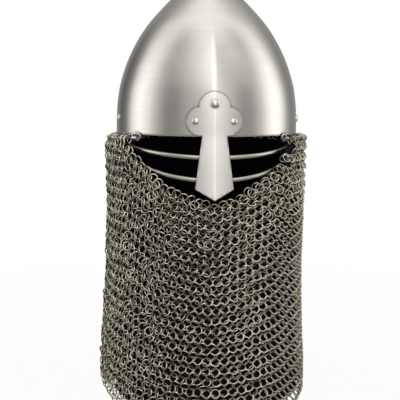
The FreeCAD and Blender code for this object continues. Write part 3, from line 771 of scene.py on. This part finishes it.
class HELMET_OT_rivets(bpy.types.Operator):
    """Turns the domed rivets of the nasal, the temples, the chin strap and the liner"""
    bl_idname = "helmet.rivets"
    bl_label = "Rivets"

    def execute(self, context):
        for node in rivet_nodes:
            low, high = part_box(node)
            middle = (low + high) / 2
            out = rivet_way(node, middle)
            across = Vector((0, 0, 1)).cross(out).normalized()
            # A box across the arc also holds what the head's width adds
            length = high.y - low.y
            if out.x:
                length = abs(out.y) * length + abs(out.x) * (high.x - low.x) - (
                    2 * rivet_head_radius * (abs(out.x * across.x) + abs(out.y * across.y)))
            start = middle + out * (length / 2 - rivet_head_rise)
            if node in ("nasal_rivet_left", "nasal_rivet_right"):
                start -= across * copysign(nasal_rivet_shift, middle.x)
            piece = lathe(node + "_turned", rivet_profile(length), start, out)
            dress(piece, "rivet", "helmet", node)
        return {"FINISHED"}


# Mail

def eased(value, low, high):
    """Smooth step from 0 at low to 1 at high."""
    share = np.clip((value - low) / (high - low), 0, 1)
    return share * share * (3 - 2 * share)


def eased_turn(turn, low, high):
    return eased(turn, radians(low), radians(high))


def mail_point(turn, drop, inset=0.0):
    """Points of the hanging sheet. turn is 0 in front and positive to the wearer's left."""
    side, front, back, fold = [smooth_through(mail_levels[:, (0, i)], drop) for i in range(1, 5)]
    cosine, sine = np.cos(turn), np.sin(turn)
    width = skull_half_width + side - inset
    length = skull_half_length + np.where(cosine > 0, front, back) - inset
    wave = fold * (np.sin(7 * turn + 0.8) * 0.6 + np.sin(11 * turn + 2.1) * 0.4) - fold * 0.5
    wave = wave * np.clip((np.abs(turn) - 0.5) / 0.6, 0, 1)
    lean = mail_lean * eased(drop, 60 * MM, 230 * MM)
    return np.stack([(width + wave) * sine + lean, -(length + wave) * cosine, -drop], axis=-1)


def edge_drop(turn):
    """Drop of the mail's top edge: it sags under the nasal, and hangs higher on the wearer's left."""
    share = np.clip(np.abs(turn) / mail_edge_turn, 0, 1)
    sag = 1 - (0.55 * share + 0.45 * share ** 6)
    lift = (eased(share, 0.2, 0.5) + eased(share, 0.55, 0.9)) * (1 - eased(share, 0.92, 1.03))
    swell = eased(share, 0.48, 0.75) * (1 - eased(share, 0.8, 0.96))
    return (mail_first_row_drop + (mail_edge_drop - mail_first_row_drop) * sag
            - mail_left_lift * lift * (turn > 0) - mail_right_lift * swell * (turn < 0))


def hem_drop(turn):
    return mail_hem_drop + mail_front_droop * np.clip(np.cos(turn), 0, 1)


def row_drop(turn, share):
    """Drop of a row at this share of the way from the top edge to the hem."""
    front = np.clip(np.cos(turn), 0, 1) ** 2
    down = share * (1 - 0.13 * front * (1 - share))
    top = edge_drop(turn)
    rising = eased_turn(turn, 44, 88) * (1 - eased_turn(turn, 115, 170))
    middle = eased(share, 0.05, 0.4) * (1 - 0.8 * eased(share, 0.75, 1.0))
    return top + (hem_drop(turn) - top) * down - row_rise * rising * middle


column_shares_top = [(-180, 0.25), (-100, 0.25), (-62, 0.28), (-40, 0.30), (-20, 0.27),
                     (-4, 0.235), (14, 0.21), (50, 0.20), (62, 0.24), (100, 0.25), (180, 0.25)]
column_shares_low = [(-180, 0.25), (-90, 0.26), (-50, 0.26), (-30, 0.24), (0, 0.225), (26, 0.235),
                     (45, 0.30), (78, 0.30), (100, 0.26), (180, 0.25)]


def column_turns(shares, count, shift):
    """Turns of the columns where they crowd by these shares. The middle column stays in front."""
    degrees = np.linspace(-540, 540, 2161)
    within = (degrees + 180) % 360 - 180
    crowd = np.interp(within, *zip(*shares))
    total = np.concatenate([[0], np.cumsum((crowd[1:] + crowd[:-1]) / 2)])
    front = np.interp(0, degrees, total)
    wanted = front + ((np.arange(count) + shift) / count - 0.5) * total[-1] / 3
    return np.radians(np.interp(wanted, total, degrees))


def within_turn(turn):
    return (turn + pi) % (2 * pi) - pi


def ring_radius():
    return (sizes().ring_bore + sizes().ring_wire) / 2


def ring_template():
    """One ring of a few dozen faces in the XZ plane."""
    bpy.ops.mesh.primitive_torus_add(
        major_segments=14, minor_segments=4, major_radius=ring_radius(),
        minor_radius=sizes().ring_wire * 0.54, rotation=(pi / 2, 0, 0))
    return template_of(new_piece("ring_template"))


def unit(vectors):
    return vectors / np.linalg.norm(vectors, axis=-1, keepdims=True)


def ring_painted_light(points, frames, centres):
    """Painted light of each point of the rings: high where it faces out, up and towards the wearer's
    left, where the light comes from, and low behind. Each ring's tone also differs at random.
    """
    spine = np.stack([points[:, 0], np.zeros(len(points)), points[:, 2]], axis=1)
    normals = unit(points - unit(spine) * ring_radius())
    # Painted light: the way the light comes from, out, up and towards the wearer's left
    facing = unit(unit(centres * (1, 1, 0)) + np.array((0.75, 0, 0.35)))
    turned_out = (np.einsum("pk,nkc->npc", normals, frames) * facing[:, None, :]).sum(-1)
    tone = np.random.default_rng(5).normal(1.0, 0.16, len(centres))[:, None]
    return (eased(turned_out, -0.1, 0.95) * tone).clip(0, 1.4)


def joined_copies(name, centres, frames, template):
    """One mesh of copies. frames hold each copy's across, out and up directions as rows."""
    points, faces = template
    placed = np.einsum("pk,nkc->npc", points, frames) + centres[:, None, :]
    firsts = np.arange(len(centres))[:, None, None] * len(points)
    piece = mesh_piece(name, placed.reshape(-1, 3), [], (faces + firsts).reshape(-1, 4))
    piece.data.shade_smooth()
    return piece


def turned(frames, axis_index, angles):
    """Frames turned about one of their own directions."""
    first, second = [(1, 2), (2, 0), (0, 1)][axis_index]
    cosine, sine = np.cos(angles)[:, None], np.sin(angles)[:, None]
    result = frames.copy()
    result[:, first] = cosine * frames[:, first] + sine * frames[:, second]
    result[:, second] = cosine * frames[:, second] - sine * frames[:, first]
    return result


def pulled(turn, share):
    """Where the sheet is drawn tight: low on the wearer's left."""
    side = eased_turn(turn, 26, 40) * (1 - eased_turn(turn, 84, 104))
    return side * eased(share, 0.12, 0.35)


def hangs_free(turn):
    """Where the sheet hangs straight: from the wearer's right round the back."""
    return eased_turn(-turn, 15, 45) + eased_turn(turn, 95, 125)


def ring_turns(turn, row, tight):
    """How far a row's rings lean about the row, and swing about the upright. Every second row
    does so the other way. Where the sheet is tight it lies flat in one strand, and the rows
    between stay open. The edge row hangs free: on the left its rings turn to face the front."""
    free = hangs_free(turn)
    way = 1 if row % 2 else -1
    tilt = sizes().ring_tilt * (1 - 0.8 * free)
    strand = np.radians(np.interp(np.degrees(turn), *zip(*strand_leans)))
    lean = way * (tilt + ((open_lean if row % 2 else strand) - tilt) * tight)
    swing = both_swing * (1 - free) + way * (row_swing + free_swing * free)
    if row == 0:
        return lean, np.where(turn > 0, 0.8 * np.minimum(turn, mail_edge_turn), edge_swing)
    return lean, swing * (1 - tight)


def row_turns(row, columns):
    """Turns of a row's rings. Every second row lies half a ring further round."""
    shift = 0.5 * (row % 2)
    mix = min(1.0, row / (sizes().mail_rows - 1) * 1.6)
    return within_turn(column_turns(column_shares_top, columns, shift) * (1 - mix)
                       + column_turns(column_shares_low, columns, shift) * mix)


def flat_frames(turn, row_share):
    """Centres of a row's rings, and frames that lie in the sheet."""
    here = mail_point(turn, row_drop(turn, row_share))
    beside = mail_point(turn + 0.01, row_drop(turn + 0.01, row_share))
    below = mail_point(turn, row_drop(turn, row_share + 0.01))
    up = unit(here - below)
    across = beside - here
    across = unit(across - (across * up).sum(-1, keepdims=True) * up)
    return here, np.stack([across, np.cross(across, up), up], axis=1)


def mail_rings():
    """Centres and frames of all the rings of the hanging sheet."""
    rng = np.random.default_rng(7)
    centres, frames = [], []
    rows, columns = sizes().mail_rows, sizes().mail_columns
    for row in range(rows):
        share = row / (rows - 1)
        turn = row_turns(row, columns)
        loose = 1 + 0.1 * eased(-turn, 0.15, 0.6) - 0.75 * pulled(turn, share)
        turn = turn + rng.normal(0, uneven_turn, columns) * loose
        centre, frame_set = flat_frames(turn, share + rng.normal(0, uneven_share, columns) * loose)
        kept = (np.abs(turn) > vervelle_clear_turn) | (centre[:, 2] < -vervelle_clear_drop)
        lean, swing = ring_turns(turn, row, pulled(turn, share))
        out = frame_set[:, 1]
        frame_set = turned(frame_set, 2, swing + rng.normal(0, uneven_lean, columns) * loose)
        frame_set = turned(frame_set, 0, lean + rng.normal(0, uneven_lean, columns) * loose)
        frame_set = turned(frame_set, 1, rng.normal(0, uneven_roll, columns))
        centre = centre + out * rng.normal(0, uneven_depth, columns)[:, None] * loose[:, None]
        centres.append(centre[kept])
        frames.append(frame_set[kept])
    return np.concatenate(centres), np.concatenate(frames)


def hanging_rings():
    """Rings that hang on the wire between the vervelles and carry the sheet's first row."""
    boxes = [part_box(node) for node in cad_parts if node.startswith("vervelle_")]
    vervelles = [(low + high) / 2 for low, high in boxes]
    centres, frames = [], []
    up = np.array((0.0, 0.0, 1.0))
    for turn in within_turn(column_turns(column_shares_top, sizes().mail_columns, 0.5)):
        side = 1 if sin(turn) >= 0 else -1
        along = atan2(cos(turn), abs(sin(turn)))
        point, way = rim_point(side, along, -wire_drop, wire_offset)
        nearest = min((v - point).xy.length for v in vervelles)
        if abs(turn) < hanging_turn or nearest < vervelle_clear_reach:
            continue
        centres.append(point + way * (ring_radius() * 0.72) + Vector((0, 0, -ring_radius() * 0.5)))
        frames.append(np.stack([np.array(way), np.cross(up, np.array(way)), up]))
    swing = np.random.default_rng(11).normal(0, uneven_hanging, len(frames))
    return np.array(centres), turned(np.array(frames), 2, swing)


class HELMET_OT_mail(bpy.types.Operator):
    """Links the mail ring by ring, and hangs it on the wire"""
    bl_idname = "helmet.mail"
    bl_label = "Mail aventail"

    def execute(self, context):
        template = ring_template()
        centres, frames = [np.concatenate(both) for both in zip(mail_rings(), hanging_rings())]
        turn = np.degrees(np.arctan2(centres[:, 0], -centres[:, 1]))
        for name, middle in (("front", 0), ("left", 90), ("back", 180), ("right", -90)):
            away = np.abs((turn - middle + 180) % 360 - 180)
            chosen = away <= 45 if name in ("front", "back") else away < 45
            piece = joined_copies("mail_" + name, centres[chosen], frames[chosen], template)
            # Painted light and shade of each point of the rings, kept on the mesh
            painted_light = piece.data.attributes.new("painted_light", "FLOAT", "POINT")
            worn_and_lit = ring_painted_light(template[0], frames[chosen], centres[chosen])
            painted_light.data.foreach_set("value", worn_and_lit.reshape(-1))
            dress(piece, "mail", "helmet", "mail_aventail")
        return {"FINISHED"}


def lining_top(turn):
    """Drop of the cloth's top: hidden below the mail's edge in front, up to the rim elsewhere."""
    behind = eased_turn(np.abs(turn), 54, 62)
    return (edge_drop(turn) + lining_edge_drop) * (1 - behind) + lining_top_drop * behind


class HELMET_OT_lining(bpy.types.Operator):
    """Hangs the black cloth behind the mail"""
    bl_idname = "helmet.lining"
    bl_label = "Lining"

    def execute(self, context):
        turn = np.linspace(-pi, pi, lining_columns, endpoint=False)
        top, foot = lining_top(turn), hem_drop(turn) - lining_hem_lift
        points = [mail_point(turn, top + (foot - top) * row / lining_rows, lining_inset)
                  for row in range(lining_rows + 1)]
        here = np.arange(lining_rows * lining_columns).reshape(lining_rows, lining_columns)
        after = np.roll(here, -1, axis=1)
        faces = np.stack([here, after, after + lining_columns, here + lining_columns], axis=-1)
        lining = mesh_piece("aventail_cloth", np.concatenate(points), [], faces.reshape(-1, 4))
        outward(lining)
        give_wall(lining, lining_thickness)
        smooth(lining)
        dress(lining, "cloth", "helmet", "aventail_lining")
        return {"FINISHED"}


# Leather harness

stitch_pitch = 4.6 * MM
stitch_edge = 2.2 * MM
stitch_size = (2.9 * MM, 0.6 * MM, 0.7 * MM)
leather_ease = 0.45 * MM
chin_rivet_height = 18.0 * MM
chin_rivet_turn = radians(-11.5)
chin_strap_half_width = 8.0 * MM
chin_face_depth = 1.1 * MM
chin_stitch_start = 4.0 * MM
buckle_stitch_end = 80.0 * MM
tail_stitch_end = 72.0 * MM
crown_strap_half_width = 12.0 * MM
crown_strap_straight = 45.0 * MM
leather_thickness = 2.0 * MM
leather_bodies = {"chin_strap_buckle_half": "strap_buckle", "strap_keeper": "strap_buckle",
                  "chin_strap_tail_half": "strap_tail"}


def eased_copy(node):
    """The node's own shape as clean faces with its cut edges rounded over."""
    piece = linked(node + "_leather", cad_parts[node].data.copy())
    edit(piece)
    bpy.ops.mesh.remove_doubles(threshold=0.01 * MM)
    bpy.ops.mesh.dissolve_limited(angle_limit=radians(1.5))
    leave()
    ease_edges(piece, leather_ease, 3)
    apply_all(piece)
    smooth(piece, radians(50))
    return piece


def stitch_template():
    """One thread lump, long along its first direction."""
    bpy.ops.mesh.primitive_cube_add(size=1.0)
    stitch = new_piece("stitch_template")
    edit(stitch)
    bpy.ops.mesh.subdivide(number_cuts=1, smoothness=1.0)
    leave()
    points, faces = template_of(stitch)
    return points * stitch_size, faces


def stitch_row(path, outs):
    """Places for stitches along a path. outs point out of the leather."""
    path, outs = np.array(path), np.array(outs)
    steps = np.linalg.norm(np.diff(path, axis=0), axis=1)
    along = np.concatenate([[0], np.cumsum(steps)])
    count = int(along[-1] / stitch_pitch)
    wanted = (np.arange(count) + 0.5) / count * along[-1]

    def at(places, values=path):
        return np.stack([np.interp(places, along, values[:, i]) for i in range(3)], axis=1)

    out = unit(at(wanted, outs))
    tangent = unit(at(wanted + 0.5 * MM) - at(wanted - 0.5 * MM))
    return at(wanted), np.stack([tangent, out, np.cross(tangent, out)], axis=1)


def band_rows():
    """Stitch rows round the headband's inner face, near both edges."""
    low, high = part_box("headband")
    offset = high.x - skull_half_width - leather_thickness
    end = acos(rim_offset / (rim_radius + offset)) - 0.03
    rows = []
    for z in (low.z + stitch_edge, high.z - stitch_edge):
        for side in (1, -1):
            points = [rim_point(side, turn, z, offset) for turn in np.linspace(-end, end, 80)]
            rows.append(stitch_row([point for point, _ in points], [-out for _, out in points]))
    return rows


def crown_rows(node, across):
    """Stitch rows under an arched strap. across is 0 where it runs along X, and 1 along Y."""
    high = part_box(node)[1]
    reach, crest = high[across] - leather_thickness, high.z - leather_thickness
    turn = np.linspace(0.02, pi - 0.02, 120)
    outs = np.zeros((len(turn), 3))
    outs[:, across], outs[:, 2] = -np.cos(turn), -np.sin(turn)
    path = (0, 0, crown_strap_straight) - outs * (reach, reach, crest - crown_strap_straight)
    rows = []
    for edge in (-1, 1):
        path[:, 1 - across] = edge * (crown_strap_half_width - stitch_edge)
        rows.append(stitch_row(path, outs))
    return rows


def chin_rows(node, side, end_drop):
    """Stitch rows on both faces of a hanging strap, down to end_drop below its rivet."""
    point, out = rim_point(side, chin_rivet_turn, chin_rivet_height)
    along = Vector((0, 0, 1)).cross(out)
    low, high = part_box(node)
    depth = out.dot((low + high) / 2 - point)
    rows = []
    for face in (1, -1):
        for edge in (-1, 1):
            start = point + out * (depth + face * chin_face_depth) + along * edge * (
                chin_strap_half_width - stitch_edge)
            path = [start + Vector((0, 0, -d)) for d in (chin_stitch_start, end_drop)]
            rows.append(stitch_row(path, [out * face, out * face]))
    return rows


class HELMET_OT_leather(bpy.types.Operator):
    """Cuts the headband, crown straps and chin straps from leather and stitches their edges"""
    bl_idname = "helmet.leather"
    bl_label = "Leather harness"

    def execute(self, context):
        template = stitch_template()
        rows = {"headband": band_rows(),
                "crown_strap_across": crown_rows("crown_strap_across", 0),
                "crown_strap_lengthwise": crown_rows("crown_strap_lengthwise", 1),
                "chin_strap_buckle_half": chin_rows("chin_strap_buckle_half", 1,
                                                    buckle_stitch_end),
                "chin_strap_tail_half": chin_rows("chin_strap_tail_half", -1, tail_stitch_end),
                "strap_keeper": []}
        for node, stitched in rows.items():
            body = leather_bodies.get(node, "helmet")
            dress(eased_copy(node), "leather", body, node)
            if stitched:
                centres, frames = [np.concatenate(part) for part in zip(*stitched)]
                thread = joined_copies(node + "_stitches", centres, frames, template)
                outward(thread)
                dress(thread, "thread", body, node)
        return {"FINISHED"}


class HELMET_OT_kept(bpy.types.Operator):
    """Gives the rigid pieces that stay as they are their steel"""
    bl_idname = "helmet.kept"
    bl_label = "Kept pieces"

    def execute(self, context):
        starts = {"bar": ("eye_bar", "guard_strut"), "rivet": ("crown_rivet", "harness_rivets"),
                  "vervelle": ("vervelle", "aventail_wire", "buckle")}
        for node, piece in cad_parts.items():
            for finish_name, names in starts.items():
                if node.startswith(names):
                    coat(piece, finish_name)
        return {"FINISHED"}


# Stage

camera_place = (-124.8 * MM, -1648.7 * MM, 68.9 * MM)
camera_yaw = radians(4.10)
camera_pitch = radians(5.09)
camera_roll = radians(0.45)
camera_lens = 129.19

# Brightness of the studio by the turn from the camera's side. Level with the helmet: a soft box on
# each side with a dark flag at its edges, and a pale wall in front. Higher up: a wide soft sail.
level_shares = [(-180, 0.40), (-160, 0.33), (-146, 0.10), (-130, 0.20), (-118, 1.50), (-106, 2.10),
                (-94, 1.60), (-80, 0.75), (-68, 0.32), (-56, 0.34), (-44, 0.60), (-30, 0.75),
                (-14, 1.40), (4, 1.90), (16, 1.60), (30, 1.10), (44, 0.75), (54, 0.38),
                (66, 0.45), (78, 0.90), (90, 1.80), (102, 2.20), (112, 1.60), (124, 0.45),
                (136, 0.25), (156, 0.36), (180, 0.40)]
sail_shares = [(-180, 0.45), (-140, 0.50), (-120, 1.20), (-100, 1.25), (-78, 0.62), (-62, 0.85),
               (-44, 1.20), (-18, 1.80), (4, 2.70), (18, 1.70), (38, 0.95), (62, 1.10),
               (80, 0.75), (104, 1.45), (128, 0.75), (150, 0.48), (180, 0.45)]
overhead_share = 1.5
level_top = 10.0
studio_strength = 2.5
sail_middle = 50.0
overhead_low = 76.0

floor_size = 4.4
floor_white_near = 0.965
floor_fade_from = 0.5
floor_fade_to = 1.7


def studio_grey(level):
    level = level / studio_strength
    return (level, level * 0.995, level * 0.985, 1)


def shares_ramp(tree, share, stops):
    """Smooth grey ramp through (degrees, brightness) stops."""
    ramp = add_node(tree, "ValToRGB", {"Fac": share})
    ramp.color_ramp.interpolation = "EASE"
    elements = ramp.color_ramp.elements
    elements.remove(elements[1])
    elements[0].position = 0.0
    for index, (degrees, level) in enumerate(stops):
        stop = elements[0] if index == 0 else elements.new(degrees / 360 + 0.5)
        stop.color = studio_grey(level)
    return ramp.outputs["Color"]


def camera_ray(tree):
    return tree.nodes.new("ShaderNodeLightPath").outputs["Is Camera Ray"]


def mix_shader(tree, share, first, second):
    return add_node(tree, "MixShader", {0: share, 1: first.outputs[0],
                                        2: second.outputs[0]}).outputs[0]


def studio_world():
    world = bpy.data.worlds.new("studio")
    bpy.context.scene.world = world
    world.use_nodes = True
    tree = world.node_tree
    tree.nodes.clear()
    at = tree.nodes.new("ShaderNodeTexCoord").outputs["Generated"]
    way = add_node(tree, "SeparateXYZ", {0: at}).outputs
    turn = math_node(tree, "ARCTAN2", way["X"], times(tree, way["Y"], -1.0))
    share = plus(tree, math_node(tree, "DIVIDE", turn, 2 * pi), 0.5)
    rise = math_node(tree, "DEGREES", math_node(tree, "ARCSINE", way["Z"]))
    light = mix_colour(tree, ranged(tree, rise, level_top, sail_middle, "SMOOTHSTEP"),
                       shares_ramp(tree, share, level_shares),
                       shares_ramp(tree, share, sail_shares))
    light = mix_colour(tree, ranged(tree, rise, sail_middle, overhead_low, "SMOOTHSTEP"), light,
                       studio_grey(overhead_share))
    lit = add_node(tree, "Background", {"Color": light, "Strength": studio_strength})
    seen = add_node(tree, "Background", {"Color": (1, 1, 1, 1)})
    add_node(tree, "OutputWorld", {0: mix_shader(tree, camera_ray(tree), lit, seen)})


def floor_material():
    """Pale floor that keeps the shadow near the helmet and fades into the white behind it."""
    material, tree, shader = new_material("studio_floor")
    feed(tree, shader.inputs, {"Base Color": (0.3, 0.3, 0.295, 1), "Roughness": 0.9})
    glow = add_node(tree, "Emission", {"Color": (1, 1, 1, 1)})
    length = add_node(tree, "VectorMath", {0: object_place(tree)}, operation="LENGTH")
    far = ranged(tree, length.outputs["Value"], floor_fade_from, floor_fade_to, "SMOOTHSTEP")
    white = plus(tree, times(tree, far, 1 - floor_white_near), floor_white_near)
    seen = mix_shader(tree, times(tree, camera_ray(tree), white), shader, glow)
    out = next(n for n in tree.nodes if n.type == "OUTPUT_MATERIAL")
    feed(tree, out.inputs, {"Surface": seen})
    return material


class HELMET_OT_stage(bpy.types.Operator):
    """Sets the pale floor, the studio light and the camera"""
    bl_idname = "helmet.stage"
    bl_label = "Stage"

    def execute(self, context):
        studio_world()
        bpy.ops.mesh.primitive_plane_add(size=floor_size, location=(0, 0, cad_low.z - 2 * MM))
        floor = new_piece("studio_floor")
        floor.data.materials.append(floor_material())
        camera_data = bpy.data.cameras.new("camera")
        camera_data.lens = camera_lens
        camera = linked("camera", camera_data)
        camera.matrix_world = (Matrix.Translation(camera_place)
                               @ Matrix.Rotation(-camera_yaw, 4, "Z")
                               @ Matrix.Rotation(pi / 2 - camera_pitch, 4, "X")
                               @ Matrix.Rotation(camera_roll, 4, "Z"))
        bpy.context.scene.camera = camera
        bpy.context.scene.view_settings.view_transform = "Standard"
        return {"FINISHED"}


class HELMET_PT_panel(bpy.types.Panel):
    """Lists the pieces of the helmet"""
    bl_idname = "HELMET_PT_panel"
    bl_label = "Helmet"
    bl_space_type = "VIEW_3D"
    bl_region_type = "UI"
    bl_category = "Helmet"

    def draw(self, context):
        for operator in operators:
            self.layout.operator(operator.bl_idname)


operators = (HELMET_OT_stage, HELMET_OT_finishes, HELMET_OT_skull, HELMET_OT_nasal,
             HELMET_OT_rivets, HELMET_OT_mail, HELMET_OT_lining, HELMET_OT_leather,
             HELMET_OT_kept)
classes = (HelmetSizes, HelmetColours) + operators + (HELMET_PT_panel,)


def register():
    for cls in classes:
        bpy.utils.register_class(cls)
    bpy.types.Scene.helmet_sizes = PointerProperty(type=HelmetSizes)
    bpy.types.Scene.helmet_colours = PointerProperty(type=HelmetColours)


def unregister():
    del bpy.types.Scene.helmet_sizes
    del bpy.types.Scene.helmet_colours
    for cls in reversed(classes):
        bpy.utils.unregister_class(cls)


def main():
    register()
    for operator in operators:
        getattr(bpy.ops.helmet, operator.bl_idname.split(".")[1])()


if __name__ == "__main__":
    main()
